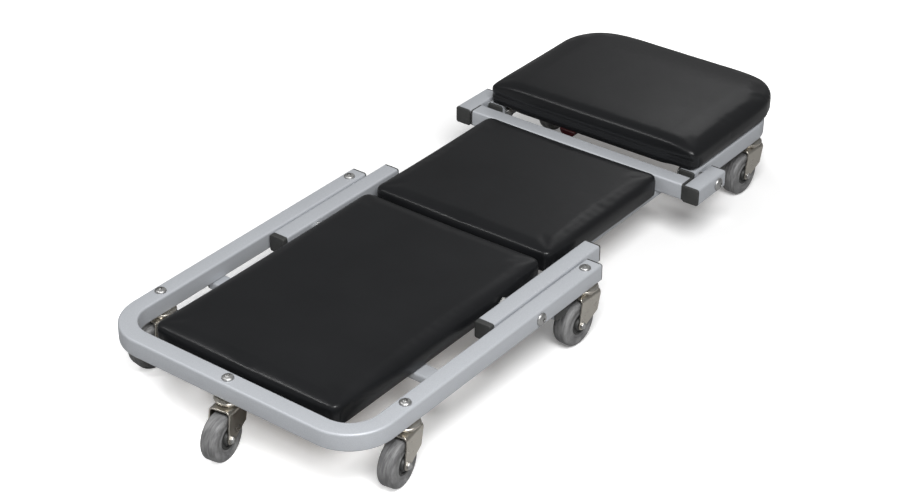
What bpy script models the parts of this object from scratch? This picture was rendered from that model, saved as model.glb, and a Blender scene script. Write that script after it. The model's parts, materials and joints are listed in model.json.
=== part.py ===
"""Folding mechanic creeper: a square-tube frame in three sections on seven swivel casters.

The base section carries the foot pad, the middle section hinges on the base arms, and the head
section hinges on the middle. Folded, the head section stays level above the base as a seat.

Units are metres and +Z is up. Stations run along +Y from the front rail's centreline toward the
head, and heights run up from the floor. The root empty puts the middle of the length at the origin.
"""

import math

import bmesh
import bpy
from mathutils import Matrix, Vector

# Clearances
GAP = 0.0003            # between pieces that touch
HOLE_PLAY = 0.0006      # a hole's diameter over its bolt's
AXLE_PLAY = 0.0004      # wheel boss to fork leg, each side

# Tube stock
TUBE = 0.0254
TUBE_ROUND = 0.0035
WALL = 0.0015
BAR_WIDTH = 0.0254
BAR_HEIGHT = 0.0127
BAR_INSET = 0.003       # lower bars stop this far short of a frame's outer face
CORNER_STEPS = 2
BEND_STEPS = 6

# Base section
CASTER_HEIGHT = 0.07835     # floor to the underside of the tubes
ARM_X = 0.2
ARM_LENGTH = 0.4879
BASE_BEND = 0.0527
FRONT_CASTER_AT = 0.0895
REAR_CASTER_SETBACK = 0.0229
CROSS_MEMBER_AT = 0.1855
CROSS_MEMBER_INSET = 0.0135  # cross member's ends inside the arms' outer faces
ARM_PAST_HINGE = 0.1398      # base hinge to the arms' ends

# Middle section
FOLD_ANGLE = math.radians(130)
HINGE_SPACER = 0.003
LIFT_STUB = 0.069           # lift tube on the foot side of its hinge
LIFT_REACH = 0.1775         # lift tube on the head side of its hinge
FRONT_BAR_SETBACK = 0.0057  # far end of a lift tube to the front bar
HINGE_SPAN = 0.4344         # base hinge to head hinge
RAIL_X = 0.128
CROSS_TUBE_SETBACK = 0.0393
HINGE_TUBE_FRONT = 0.0544
HINGE_TUBE_BACK = 0.0223

# Head section
HEAD_X = 0.168
HEAD_SPACER = 0.0054
HEAD_STUB = 0.016
HEAD_REACH = 0.219
HEAD_BEND = 0.0527
HEAD_CASTER_REACH = 0.164

# Plastic end caps
CAP_THIN = 0.002
CAP_THICK = 0.008
CAP_PLUG = 0.008
CAP_EDGE = 0.0008

# Pads
PAD_SIDE_CLEAR = 0.0105     # foot and middle pads to the lift tubes
PAD_THICK = 0.0325
PAD_CROWN = 0.0035
PAD_EDGE = 0.009
PAD_CORNER = 0.018
PAD_TUCK = 0.004            # how far the cover is drawn in at the board
PAD_GAP = 0.014             # foot pad to middle pad
FOOT_PAD_SETBACK = 0.0108   # front rail to foot pad
FOOT_PAD_LENGTH = 0.418
MIDDLE_PAD_CLEAR = 0.005    # middle pad to cross tube
BOARD_THICK = 0.009
BOARD_SKIRT = 0.004         # cover thickness round the board's edge
HEAD_PAD_FRONT = 0.0125     # head pad's front ahead of the head hinge
HEAD_PAD_LENGTH = 0.276
HEAD_PAD_WIDTH = 0.356
HEAD_PAD_THICK = 0.0375
HEAD_PAD_CROWN = 0.004
HEAD_PAD_FAR_CORNER = 0.075
HEAD_PAD_NEAR_CORNER = 0.008
HEAD_PAD_EDGE = 0.018
MIN_CORNER = 0.004          # least corner radius of a pad's inner outlines
CROWN_REACH = 0.82          # share of the pad's smaller half over which the crown rises
CROWN_RINGS = 4
EDGE_STEPS = 4
SIDE_STEPS = 3
PAD_CORNER_STEPS = 6

# Hinge bolts
BOLT = 0.0095
BOLT_HEAD = 0.018
BOLT_HEAD_HEIGHT = 0.005
NUT = 0.0165
NUT_HEIGHT = 0.007
BOLT_TIP = 0.002            # bolt standing out of its nut
HEX = 6
HEAD_FLAT = 0.6             # share of a bolt head's radius that is flat
HEAD_RIM = 0.33             # share of a bolt head's height that is straight
SPACER = 0.018

# Casters
WHEEL_RADIUS = 0.03175
TREAD_WIDTH = 0.023
TREAD_SHOULDER = 0.006
HUB_RADIUS = 0.0145
HUB_RIM = 0.0025
HUB_STEP = 0.001            # hub rim inside the tread's face
HUB_WIDTH = 0.0255
HUB_DISH = 0.003            # recess in the hub face
BOSS_RADIUS = 0.0075
AXLE = 0.008
AXLE_HEAD = 0.0135
AXLE_HEAD_HEIGHT = 0.0045
TRAIL = 0.0215
STEM = 0.009
STEM_HEAD = 0.0155
STEM_HEAD_HEIGHT = 0.004
STEM_FLANGE = 0.014
STEM_FLANGE_HEIGHT = 0.0025
RACE_RADIUS = 0.019
RACE_WAIST = 0.0155
RACE_HEIGHT = 0.0067
RACE_LIP = 0.0022
FORK_SHEET = 0.0025
FORK_SHOULDER = 0.006
CROWN_FRONT = 0.0185
CROWN_BACK = 0.0225
CROWN_DEPTH = 0.006
LEG_CORNER_FRONT = 0.0105   # corner of the leg's front edge, ahead of the stem
LEG_CORNER_HEIGHT = 0.0095  # and above the axle
LEG_END_RADIUS = 0.0068
LEG_END_STEPS = 6
SHEET_STEPS = 3
SHOULDER_STEPS = 2
WHEEL_STEPS = 20
TURN_STEPS = 12
HOLE_STEPS = 8

# Trailing direction of the casters off straight back, outward positive for each pair
FRONT_YAW = math.radians(9)
RAIL_YAW = math.radians(9)
REAR_YAW = math.radians(-3)
HEAD_YAW = math.radians(-3)

# Pull grip under the front of the head pad
GRIP_X = -0.036
GRIP_WIDTH = 0.027
GRIP_HEIGHT = 0.011
GRIP_LENGTH = 0.017
GRIP_FRONT = 0.0165         # ahead of the head hinge
GRIP_ROUND = 0.45           # corner radius as a share of the grip's height
GRIP_LEVELS = ((0.7, 0), (0.9, 0.12), (1, 0.4), (1, 0.65), (0.88, 0.9), (0.7, 1))
GRIP_STEPS = 3
GRIP_DROP = 0.0006          # frame top to the grip's top
TANG_WIDTH = 0.016
TANG_LENGTH = 0.045
TANG_THICK = 0.004

# Derived heights
FRAME_TOP = CASTER_HEIGHT + TUBE
AXIS_HEIGHT = CASTER_HEIGHT + TUBE / 2
BAR_TOP = CASTER_HEIGHT - GAP
BAR_MIDDLE = BAR_TOP - BAR_HEIGHT / 2
BAR_DROP = AXIS_HEIGHT - BAR_TOP + BAR_HEIGHT   # hinge axis to the underside of the lower bars
RACE_BOTTOM = CASTER_HEIGHT - GAP - RACE_HEIGHT
CROWN_TOP = RACE_BOTTOM - GAP

# Derived stations
REAR_CASTER_AT = ARM_LENGTH - REAR_CASTER_SETBACK
HINGE_AT = ARM_LENGTH - ARM_PAST_HINGE
LIFT_X = ARM_X - TUBE - HINGE_SPACER
PAD_HALF = LIFT_X - TUBE / 2 - PAD_SIDE_CLEAR
STOP_REACH = (TUBE / 2 + GAP - BAR_DROP * math.cos(FOLD_ANGLE)) / math.sin(FOLD_ANGLE)
STOP_BAR_AT = HINGE_AT + STOP_REACH + BAR_WIDTH / 2
FRONT_BAR_AT = HINGE_AT + LIFT_REACH - FRONT_BAR_SETBACK - BAR_WIDTH / 2
HEAD_HINGE_AT = HINGE_AT + HINGE_SPAN
HINGE_X = HEAD_X + TUBE + HEAD_SPACER
CROSS_TUBE_AT = HEAD_HINGE_AT - CROSS_TUBE_SETBACK
HEAD_STOP_REACH = (BAR_DROP + GAP - BAR_DROP * math.cos(FOLD_ANGLE)) / math.sin(FOLD_ANGLE)
HEAD_BAR_AT = HEAD_HINGE_AT + HEAD_STOP_REACH + BAR_WIDTH / 2
HEAD_END_AT = HEAD_HINGE_AT + HEAD_REACH
HEAD_CASTER_AT = HEAD_HINGE_AT + HEAD_CASTER_REACH
FOOT_PAD_AT = TUBE / 2 + FOOT_PAD_SETBACK
FOOT_PAD_END = FOOT_PAD_AT + FOOT_PAD_LENGTH
MIDDLE_PAD_AT = FOOT_PAD_END + PAD_GAP
MIDDLE_PAD_END = CROSS_TUBE_AT - TUBE / 2 - MIDDLE_PAD_CLEAR
HEAD_PAD_AT = HEAD_HINGE_AT - HEAD_PAD_FRONT
HEAD_PAD_END = HEAD_PAD_AT + HEAD_PAD_LENGTH
LENGTH_MIDDLE = (HEAD_PAD_END - TRAIL - WHEEL_RADIUS) / 2

ALONG_X = Matrix.Rotation(math.radians(90), 4, "Y")
ALONG_Y = Matrix.Rotation(math.radians(-90), 4, "X")
TURN_ROUND = Matrix.Rotation(math.pi, 4, "Z")
SHARP_ANGLE = math.radians(35)


def clear_scene():
    for thing in list(bpy.data.objects):
        bpy.data.objects.remove(thing, do_unlink=True)


def place(x, y, z):
    return Matrix.Translation((x, y, z))


# Shapes

def rounded_rectangle(width, height, radius, steps):
    """Points of a rounded rectangle in the XY plane, counter-clockwise."""
    points = []
    for corner, (side_x, side_y) in enumerate(((1, 1), (-1, 1), (-1, -1), (1, -1))):
        for step in range(steps + 1):
            angle = math.pi / 2 * (corner + step / steps)
            x = side_x * (width / 2 - radius) + radius * math.cos(angle)
            y = side_y * (height / 2 - radius) + radius * math.sin(angle)
            points.append(Vector((x, y, 0)))
    return points


def to_mesh(bm):
    bmesh.ops.recalc_face_normals(bm, faces=bm.faces)
    mesh = bpy.data.meshes.new("shape")
    bm.to_mesh(mesh)
    bm.free()
    return mesh


def loft(rings):
    """Skin a run of rings that have the same number of points, and fill both ends."""
    bm = bmesh.new()
    loops = [[bm.verts.new(point) for point in ring] for ring in rings]
    for lower, upper in zip(loops, loops[1:]):
        for index in range(len(lower)):
            bm.faces.new((lower[index - 1], lower[index], upper[index], upper[index - 1]))
    bm.faces.new(loops[0])
    bm.faces.new(loops[-1])
    return to_mesh(bm)


def hollow_section(bm, width, height, wall):
    """A flat tube section in the XY plane, as a ring of faces."""
    edges = []
    for inset in (0, wall):
        radius = max(TUBE_ROUND - inset, wall / 2)
        points = rounded_rectangle(width - 2 * inset, height - 2 * inset, radius, CORNER_STEPS)
        verts = [bm.verts.new(point) for point in points]
        edges += [bm.edges.new((verts[index - 1], verts[index])) for index in range(len(verts))]
    return bmesh.ops.bridge_loops(bm, edges=edges)["faces"]


def sweep(bm, faces, start, moves):
    """Carry a section from its start along a run of moves, leaving a closed body."""
    bmesh.ops.transform(bm, matrix=start, verts=bm.verts)
    for index, move in enumerate(moves):
        made = bmesh.ops.extrude_face_region(bm, geom=faces)["geom"]
        if index:
            bmesh.ops.delete(bm, geom=faces, context="FACES")
        verts = [item for item in made if isinstance(item, bmesh.types.BMVert)]
        faces = [item for item in made if isinstance(item, bmesh.types.BMFace)]
        bmesh.ops.transform(bm, matrix=move, verts=verts)
    return to_mesh(bm)


def straight_tube(length, width, height, start, direction):
    """A hollow tube from start; its section's width lies along the start matrix's X axis."""
    bm = bmesh.new()
    faces = hollow_section(bm, width, height, WALL)
    return sweep(bm, faces, start, [Matrix.Translation(Vector(direction) * length)])


def cross_bar(half_length, station):
    """A flat lower bar across the frame."""
    start = place(-half_length, station, BAR_MIDDLE) @ ALONG_X
    return straight_tube(2 * half_length, BAR_HEIGHT, BAR_WIDTH, start, (1, 0, 0))


def long_bar(x, near, far):
    """A flat lower bar along the length of the creeper."""
    start = place(x, near, BAR_MIDDLE) @ ALONG_Y
    return straight_tube(far - near, BAR_WIDTH, BAR_HEIGHT, start, (0, 1, 0))


def quarter_turn(x, y):
    """Moves that carry a section a quarter turn to the left about an upright line."""
    turn = Matrix.Rotation(math.pi / 2 / BEND_STEPS, 4, "Z")
    return [place(x, y, 0) @ turn @ place(-x, -y, 0)] * BEND_STEPS


def u_tube(half_width, closed_end, open_end, bend):
    """A square tube bent into a U, from one open end round to the other."""
    side = 1 if open_end > closed_end else -1
    run = open_end - closed_end - side * bend
    corner_x = side * (half_width - bend)
    corner_y = closed_end + side * bend
    start = place(-side * half_width, open_end, AXIS_HEIGHT) @ ALONG_Y
    moves = [place(0, -run, 0)]
    moves += quarter_turn(-corner_x, corner_y)
    moves += [place(2 * corner_x, 0, 0)]
    moves += quarter_turn(corner_x, corner_y)
    moves += [place(0, run, 0)]
    bm = bmesh.new()
    return sweep(bm, hollow_section(bm, TUBE, TUBE, WALL), start, moves)


def rod(radius, length, matrix, segments):
    """A solid cylinder about the matrix's Z axis, centred on its origin."""
    bm = bmesh.new()
    bmesh.ops.create_cone(bm, cap_ends=True, segments=segments, radius1=radius, radius2=radius,
                          depth=length, matrix=matrix)
    return to_mesh(bm)


def hole(diameter, length, matrix):
    """Cutter for a bolt's hole: its flats clear the bolt all round."""
    radius = (diameter + HOLE_PLAY) / 2 / math.cos(math.pi / HOLE_STEPS)
    return rod(radius, length, matrix, HOLE_STEPS)


def turned(profile, steps, ring=False):
    """Revolve (radius, height) points about Z: an axis-to-axis profile, or a closed ring."""
    bm = bmesh.new()
    verts = [bm.verts.new((radius, 0, height)) for radius, height in profile]
    for index in range(0 if ring else 1, len(verts)):
        bm.edges.new((verts[index - 1], verts[index]))
    blank = bpy.data.objects.new("profile", to_mesh(bm))
    screw = blank.modifiers.new("turn", "SCREW")
    screw.steps = steps
    screw.render_steps = steps
    screw.use_merge_vertices = True
    screw.merge_threshold = 0.00001
    bm = bmesh.new()
    bm.from_mesh(evaluated_mesh(blank))
    bmesh.ops.remove_doubles(bm, verts=bm.verts, dist=0.00001)
    return to_mesh(bm)


def prism(points, matrix, depth):
    """An outline in the XY plane, extruded by depth along Z about its plane."""
    bm = bmesh.new()
    face = bm.faces.new([bm.verts.new((x, y, -depth / 2)) for x, y in points])
    return sweep(bm, [face], matrix, [Matrix.Translation(matrix.to_3x3() @ Vector((0, 0, depth)))])


def arc(x, y, radius, start, end, steps):
    """Points on an arc, angles in degrees."""
    angles = [math.radians(start + (end - start) * step / steps) for step in range(steps + 1)]
    return [(x + radius * math.cos(angle), y + radius * math.sin(angle)) for angle in angles]


def evaluated_mesh(blank, *helpers):
    """The mesh that an object's modifiers make; the object and its helpers are removed."""
    for thing in (blank, *helpers):
        bpy.context.scene.collection.objects.link(thing)
    graph = bpy.context.evaluated_depsgraph_get()
    mesh = bpy.data.meshes.new_from_object(blank.evaluated_get(graph))
    for thing in (blank, *helpers):
        bpy.data.objects.remove(thing, do_unlink=True)
    return mesh


def carve(mesh, cutters, operation="DIFFERENCE"):
    """Cut closed meshes out of a mesh, or keep what it shares with them."""
    blank = bpy.data.objects.new("blank", mesh)
    tools = [bpy.data.objects.new("tool", cutter) for cutter in cutters]
    for tool in tools:
        cut = blank.modifiers.new("cut", "BOOLEAN")
        cut.operation = operation
        cut.object = tool
    return evaluated_mesh(blank, *tools)


def pad_outline(plan, inset, height):
    """A pad's plan outline drawn in by inset: four straight sides with round corners."""
    half = plan["half"] - inset
    far = plan["far"] - inset
    near = plan["near"] + inset
    corners = ((half, far, plan["round_far"]), (-half, far, plan["round_far"]),
               (-half, near, plan["round_near"]), (half, near, plan["round_near"]))
    points = []
    for index, (x, y, radius) in enumerate(corners):
        radius = max(radius - inset, MIN_CORNER)
        x -= math.copysign(radius, x)
        y += radius if index > 1 else -radius
        for turn_x, turn_y in arc(x, y, radius, 90 * index, 90 * index + 90, PAD_CORNER_STEPS):
            points.append((turn_x, turn_y, height))
    return points


def cushion(plan, bottom, thick, edge, crown):
    """A padded cover: board pocket, drawn-in sides, soft top edge and a crown."""
    pocket = bottom + BOARD_THICK + GAP
    side_top = thick - edge
    reach = CROWN_REACH * min(plan["half"], (plan["far"] - plan["near"]) / 2)
    profile = [(BOARD_SKIRT + PAD_TUCK, pocket), (BOARD_SKIRT + PAD_TUCK, bottom)]
    for step in range(SIDE_STEPS):
        swell = math.sin(math.pi / 2 * step / SIDE_STEPS)
        profile.append((PAD_TUCK * (1 - swell), bottom + side_top * step / SIDE_STEPS))
    for inset, rise in arc(edge, side_top, edge, 180, 100, EDGE_STEPS):
        profile.append((inset, bottom + rise))
    edge_inset, edge_height = profile[-1]
    for ring in range(1, CROWN_RINGS + 1):
        share = ring / CROWN_RINGS
        rise = crown * (1 - (1 - share) ** 2)
        profile.append((edge_inset + (reach - edge_inset) * share, edge_height + rise))
    return loft([pad_outline(plan, inset, height) for inset, height in profile])


def board(plan, bottom):
    """The plywood board in a pad's underside."""
    inset = BOARD_SKIRT + PAD_TUCK + GAP
    return loft([pad_outline(plan, inset, bottom), pad_outline(plan, inset, bottom + BOARD_THICK)])


def pad_plan(near, far, half, round_near, round_far):
    return {"near": near, "far": far, "half": half, "round_near": round_near, "round_far": round_far}


# Finishes: colour, metallic, roughness
FINISHES = {
    "silver_paint": ((0.53, 0.56, 0.60), 0.5, 0.4),
    "black_plastic": ((0.035, 0.036, 0.035), 0.0, 0.55),
    "black_vinyl": ((0.022, 0.023, 0.026), 0.0, 0.42),
    "plywood": ((0.42, 0.28, 0.15), 0.0, 0.7),
    "zinc": ((0.58, 0.57, 0.52), 0.9, 0.35),
    "nickel": ((0.46, 0.44, 0.40), 0.9, 0.3),
    "grey_rubber": ((0.16, 0.16, 0.16), 0.0, 0.6),
    "red_plastic": ((0.28, 0.012, 0.015), 0.0, 0.4),
}


def finish(name):
    """The Principled material of one finish, made the first time it is asked for."""
    if name in bpy.data.materials:
        return bpy.data.materials[name]
    colour, metallic, roughness = FINISHES[name]
    material = bpy.data.materials.new(name)
    material.use_nodes = True
    shader = material.node_tree.nodes["Principled BSDF"]
    shader.inputs["Base Color"].default_value = (*colour, 1)
    shader.inputs["Metallic"].default_value = metallic
    shader.inputs["Roughness"].default_value = roughness
    material.diffuse_color = (*colour, 1)
    return material


class Carrier:
    """An empty that carries pieces; its spot is where it stands among the stations."""

    def __init__(self, name, collection, spot, parent=None):
        self.collection = collection
        self.spot = Vector(spot)
        self.empty = bpy.data.objects.new(name, None)
        self.empty.location = self.spot
        if parent:
            self.empty.parent = parent.empty
            self.empty.location = self.spot - parent.spot
        collection.objects.link(self.empty)

    def add(self, name, mesh, finish_name, matrix=None):
        """Hang a piece here: modelled at its station, or about this empty if matrix is given."""
        mesh.materials.clear()
        mesh.materials.append(finish(finish_name))
        mesh.shade_smooth()
        mesh.set_sharp_from_angle(angle=SHARP_ANGLE)
        piece = bpy.data.objects.new(name, mesh)
        piece.parent = self.empty
        piece.matrix_local = Matrix.Translation(-self.spot) if matrix is None else matrix
        self.collection.objects.link(piece)


# Pieces

def section_ring(size, height):
    """A square tube section as a ring at a height."""
    points = rounded_rectangle(size, size, max(TUBE_ROUND - (TUBE - size) / 2, WALL / 2), CORNER_STEPS)
    return [point + Vector((0, 0, height)) for point in points]


def end_cap(x, station, outward, thick):
    """A plug-in cap: its outer face lies at the station, outward is 1 toward the head, -1 toward the foot."""
    bore = TUBE - 2 * WALL - 2 * GAP
    cap = loft([section_ring(bore, -CAP_PLUG), section_ring(bore, 0), section_ring(TUBE, 0),
                section_ring(TUBE, thick - CAP_EDGE), section_ring(TUBE - 2 * CAP_EDGE, thick)])
    facing = Matrix.Rotation(math.radians(-90 * outward), 4, "X")
    cap.transform(place(x, station - outward * thick, AXIS_HEIGHT) @ facing)
    return cap


def blind_tube(x, near, far, bolt_at):
    """A short tube along the length, open at the near end and closed at the far one, bored for a bolt."""
    length = far - near
    bore = TUBE - 2 * WALL
    tube = loft([section_ring(bore, length - CAP_THIN), section_ring(bore, 0), section_ring(TUBE, 0),
                 section_ring(TUBE, length - CAP_EDGE), section_ring(TUBE - 2 * CAP_EDGE, length)])
    tube.transform(place(x, near, AXIS_HEIGHT) @ ALONG_Y)
    return carve(tube, [cross_hole(x, bolt_at)])


def cross_hole(x, station):
    """Cutter for a hinge bolt's hole through one tube."""
    return hole(BOLT, 2 * TUBE, place(x, station, AXIS_HEIGHT) @ ALONG_X)


def stem_hole(x, station, seat):
    """Cutter for a caster bolt's hole, from under the tube up to just past the bolt head's seat."""
    bottom = CASTER_HEIGHT - TUBE / 4
    top = seat + TUBE / 4
    return hole(STEM, top - bottom, place(x, station, (bottom + top) / 2))


def hinge_bolt(side, station, outer_x, inner_x, spacer):
    """A hinge's shoulder bolt and nut, through tubes centred at outer_x and inner_x."""
    seat = outer_x + TUBE / 2 + GAP
    low = inner_x + TUBE / 2 + GAP
    high = low + spacer - 2 * GAP
    nut_seat = inner_x - TUBE / 2 - GAP
    nut_end = nut_seat - NUT_HEIGHT
    tip = nut_end - BOLT_TIP
    head = BOLT_HEAD / 2
    shank = BOLT / 2
    collar = SPACER / 2
    bolt = turned([(0, seat + BOLT_HEAD_HEIGHT), (head * HEAD_FLAT, seat + BOLT_HEAD_HEIGHT),
                   (head, seat + BOLT_HEAD_HEIGHT * HEAD_RIM), (head, seat), (shank, seat), (shank, high),
                   (collar, high), (collar, low), (shank, low), (shank, tip), (0, tip)], TURN_STEPS)
    nut = rod(NUT / 2, NUT_HEIGHT, place(0, 0, nut_seat - NUT_HEIGHT / 2), HEX)
    bolt = carve(bolt, [nut], "UNION")
    outboard = place(0, station, AXIS_HEIGHT)
    bolt.transform(outboard @ ALONG_X if side > 0 else outboard @ TURN_ROUND @ ALONG_X)
    return bolt


def stem(x, station, seat):
    """A caster's bolt and race: button head on its seat, race cup, flange under the fork crown."""
    top = seat + GAP
    race_top = CASTER_HEIGHT - GAP
    low = CROWN_TOP - FORK_SHEET - GAP
    shank = STEM / 2
    flange = STEM_FLANGE / 2
    head = STEM_HEAD / 2
    bolt = turned([(0, top + STEM_HEAD_HEIGHT), (head * HEAD_FLAT, top + STEM_HEAD_HEIGHT),
                   (head, top + STEM_HEAD_HEIGHT * HEAD_RIM), (head, top), (shank, top),
                   (shank, race_top), (RACE_RADIUS, race_top), (RACE_RADIUS, race_top - RACE_LIP),
                   (RACE_WAIST, RACE_BOTTOM), (shank, RACE_BOTTOM), (shank, low), (flange, low),
                   (flange, low - STEM_FLANGE_HEIGHT), (0, low - STEM_FLANGE_HEIGHT)], TURN_STEPS)
    bolt.transform(place(x, station, 0))
    return bolt


def fork():
    """A pressed fork with its axle: a sheet bent to an arch, trimmed to the outline of crown and legs."""
    inner = HUB_WIDTH / 2 + AXLE_PLAY
    half = inner + FORK_SHEET
    shoulder = half - FORK_SHOULDER
    spring = CROWN_TOP - FORK_SHOULDER
    inner_round = FORK_SHOULDER - FORK_SHEET
    arch = [(half, 0)]
    arch += arc(shoulder, spring, FORK_SHOULDER, 0, 90, SHEET_STEPS)
    arch += arc(-shoulder, spring, FORK_SHOULDER, 90, 180, SHEET_STEPS)
    arch += [(-half, 0), (-inner, 0)]
    arch += arc(-shoulder, spring, inner_round, 180, 90, SHEET_STEPS)
    arch += arc(shoulder, spring, inner_round, 90, 0, SHEET_STEPS)
    arch += [(inner, 0)]
    depth = 4 * WHEEL_RADIUS
    sheet = prism(arch, Matrix.Rotation(math.radians(90), 4, "X"), depth)
    hem = CROWN_TOP - CROWN_DEPTH
    above = CROWN_TOP + CROWN_DEPTH
    outline = arc(-TRAIL, WHEEL_RADIUS, LEG_END_RADIUS, 190, 300, LEG_END_STEPS)
    outline += [(LEG_CORNER_FRONT, WHEEL_RADIUS + LEG_CORNER_HEIGHT), (CROWN_FRONT, hem),
                (CROWN_FRONT, above), (-CROWN_BACK, above), (-CROWN_BACK, hem)]
    side_view = Matrix(((0, 0, 1), (1, 0, 0), (0, 1, 0))).to_4x4()
    blank = carve(sheet, [prism(outline, side_view, depth)], "INTERSECT")
    blank = carve(blank, [hole(STEM, 2 * FORK_SHOULDER, place(0, 0, CROWN_TOP))])
    return carve(blank, [axle(half)], "UNION")


def axle(leg_face):
    """Axle bolt about X through both fork legs: a domed head at each end."""
    seat = leg_face - GAP
    end = leg_face + AXLE_HEAD_HEIGHT
    head = AXLE_HEAD / 2
    half = [(0, end), (head * HEAD_FLAT, end), (head, leg_face + AXLE_HEAD_HEIGHT * HEAD_RIM),
            (head, seat), (AXLE / 2, seat)]
    bolt = turned(half + [(radius, -height) for radius, height in reversed(half)], HOLE_STEPS)
    bolt.transform(place(0, -TRAIL, WHEEL_RADIUS) @ ALONG_X)
    return bolt


def hub():
    """Wheel core about X: a bored boss, a dished web and a rim under the tread."""
    bore = (AXLE + HOLE_PLAY) / 2
    rim = TREAD_WIDTH / 2 - HUB_STEP
    web = rim - HUB_DISH
    half = [(bore, HUB_WIDTH / 2), (BOSS_RADIUS, HUB_WIDTH / 2), (BOSS_RADIUS, web),
            (HUB_RADIUS - HUB_RIM, web), (HUB_RADIUS - HUB_RIM, rim), (HUB_RADIUS, rim)]
    core = turned(half + [(radius, -height) for radius, height in reversed(half)], TURN_STEPS, True)
    core.transform(ALONG_X)
    return core


def tyre():
    """Tread about X: flat sides down to the hub and rounded shoulders."""
    half = TREAD_WIDTH / 2
    reach = WHEEL_RADIUS - TREAD_SHOULDER
    side = [(HUB_RADIUS + GAP, half)]
    side += arc(reach, half - TREAD_SHOULDER, TREAD_SHOULDER, 90, 0, SHOULDER_STEPS)
    tread = turned(side + [(radius, -height) for radius, height in reversed(side)], WHEEL_STEPS, True)
    tread.transform(ALONG_X)
    return tread


def pull_grip():
    """A rounded grip on a flat tang that lies under the head board."""
    near = HEAD_HINGE_AT - GRIP_FRONT
    rings = []
    for share, along in GRIP_LEVELS:
        height = GRIP_HEIGHT * share
        points = rounded_rectangle(GRIP_WIDTH * share, height, height * GRIP_ROUND, GRIP_STEPS)
        rings.append([point + Vector((0, 0, GRIP_LENGTH * along)) for point in points])
    knob = loft(rings)
    knob.transform(place(GRIP_X, near, FRAME_TOP - GRIP_DROP - GRIP_HEIGHT / 2) @ ALONG_Y)
    outline = rounded_rectangle(TANG_WIDTH, TANG_LENGTH, TANG_WIDTH / 4, GRIP_STEPS)
    spot = place(GRIP_X, near + GRIP_LENGTH / 2 + TANG_LENGTH / 2, FRAME_TOP - TANG_THICK / 2)
    tang = prism([(point.x, point.y) for point in outline], spot, TANG_THICK)
    return carve(knob, [tang], "UNION")


# Sections

SIDES = (("left", -1), ("right", 1))


def build_base(base):
    casters = {"rail": (0, 0)}
    for name, side in SIDES:
        casters[f"front_{name}"] = (side * ARM_X, FRONT_CASTER_AT)
        casters[f"rear_{name}"] = (side * ARM_X, REAR_CASTER_AT)
    holes = [stem_hole(*spot, FRAME_TOP) for spot in casters.values()]
    holes += [cross_hole(side * ARM_X, HINGE_AT) for name, side in SIDES]
    frame = u_tube(ARM_X, 0, ARM_LENGTH - CAP_THIN - GAP, BASE_BEND)
    base.add("base_frame", carve(frame, holes), "silver_paint")
    outer_face = ARM_X + TUBE / 2
    cross_member = cross_bar(outer_face - CROSS_MEMBER_INSET, CROSS_MEMBER_AT)
    base.add("base_cross_member", cross_member, "silver_paint")
    base.add("fold_stop_bar", cross_bar(outer_face - BAR_INSET, STOP_BAR_AT), "silver_paint")
    for name, spot in casters.items():
        base.add(f"{name}_stem", stem(*spot, FRAME_TOP), "zinc")
    for name, side in SIDES:
        base.add(f"{name}_arm_cap", end_cap(side * ARM_X, ARM_LENGTH, 1, CAP_THIN), "black_plastic")
        bolt = hinge_bolt(side, HINGE_AT, ARM_X, LIFT_X, HINGE_SPACER)
        base.add(f"{name}_base_hinge_bolt", bolt, "zinc")

    plan = pad_plan(FOOT_PAD_AT, FOOT_PAD_END, PAD_HALF, PAD_CORNER, PAD_CORNER)
    base.add("foot_pad_board", board(plan, CASTER_HEIGHT), "plywood")
    pad = cushion(plan, CASTER_HEIGHT, PAD_THICK, PAD_EDGE, PAD_CROWN)
    base.add("foot_pad_cushion", pad, "black_vinyl")


def build_middle(middle):
    lift_near = HINGE_AT - LIFT_STUB
    hinge_near = HEAD_HINGE_AT - HINGE_TUBE_FRONT
    for name, side in SIDES:
        lift = blind_tube(side * LIFT_X, lift_near + CAP_THICK + GAP, HINGE_AT + LIFT_REACH, HINGE_AT)
        middle.add(f"{name}_lift_tube", lift, "silver_paint")
        middle.add(f"{name}_lift_cap", end_cap(side * LIFT_X, lift_near, -1, CAP_THICK), "black_plastic")
        tube = blind_tube(side * HINGE_X, hinge_near + CAP_THIN + GAP, HEAD_HINGE_AT + HINGE_TUBE_BACK,
                          HEAD_HINGE_AT)
        middle.add(f"{name}_hinge_tube", tube, "silver_paint")
        middle.add(f"{name}_hinge_cap", end_cap(side * HINGE_X, hinge_near, -1, CAP_THIN), "black_plastic")
        rail = long_bar(side * RAIL_X, FRONT_BAR_AT + BAR_WIDTH / 2 + GAP, CROSS_TUBE_AT + TUBE / 2)
        middle.add(f"{name}_middle_rail", rail, "silver_paint")
        bolt = hinge_bolt(side, HEAD_HINGE_AT, HINGE_X, HEAD_X, HEAD_SPACER)
        middle.add(f"{name}_head_hinge_bolt", bolt, "zinc")
    front_bar = cross_bar(LIFT_X + TUBE / 2 - BAR_INSET, FRONT_BAR_AT)
    middle.add("middle_front_bar", front_bar, "silver_paint")
    half = HINGE_X - TUBE / 2 - GAP
    start = place(-half, CROSS_TUBE_AT, AXIS_HEIGHT) @ ALONG_X
    middle.add("middle_cross_tube", straight_tube(2 * half, TUBE, TUBE, start, (1, 0, 0)), "silver_paint")

    plan = pad_plan(MIDDLE_PAD_AT, MIDDLE_PAD_END, PAD_HALF, PAD_CORNER, PAD_CORNER)
    middle.add("middle_pad_board", board(plan, CASTER_HEIGHT), "plywood")
    pad = cushion(plan, CASTER_HEIGHT, PAD_THICK, PAD_EDGE, PAD_CROWN)
    middle.add("middle_pad_cushion", pad, "black_vinyl")


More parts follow.
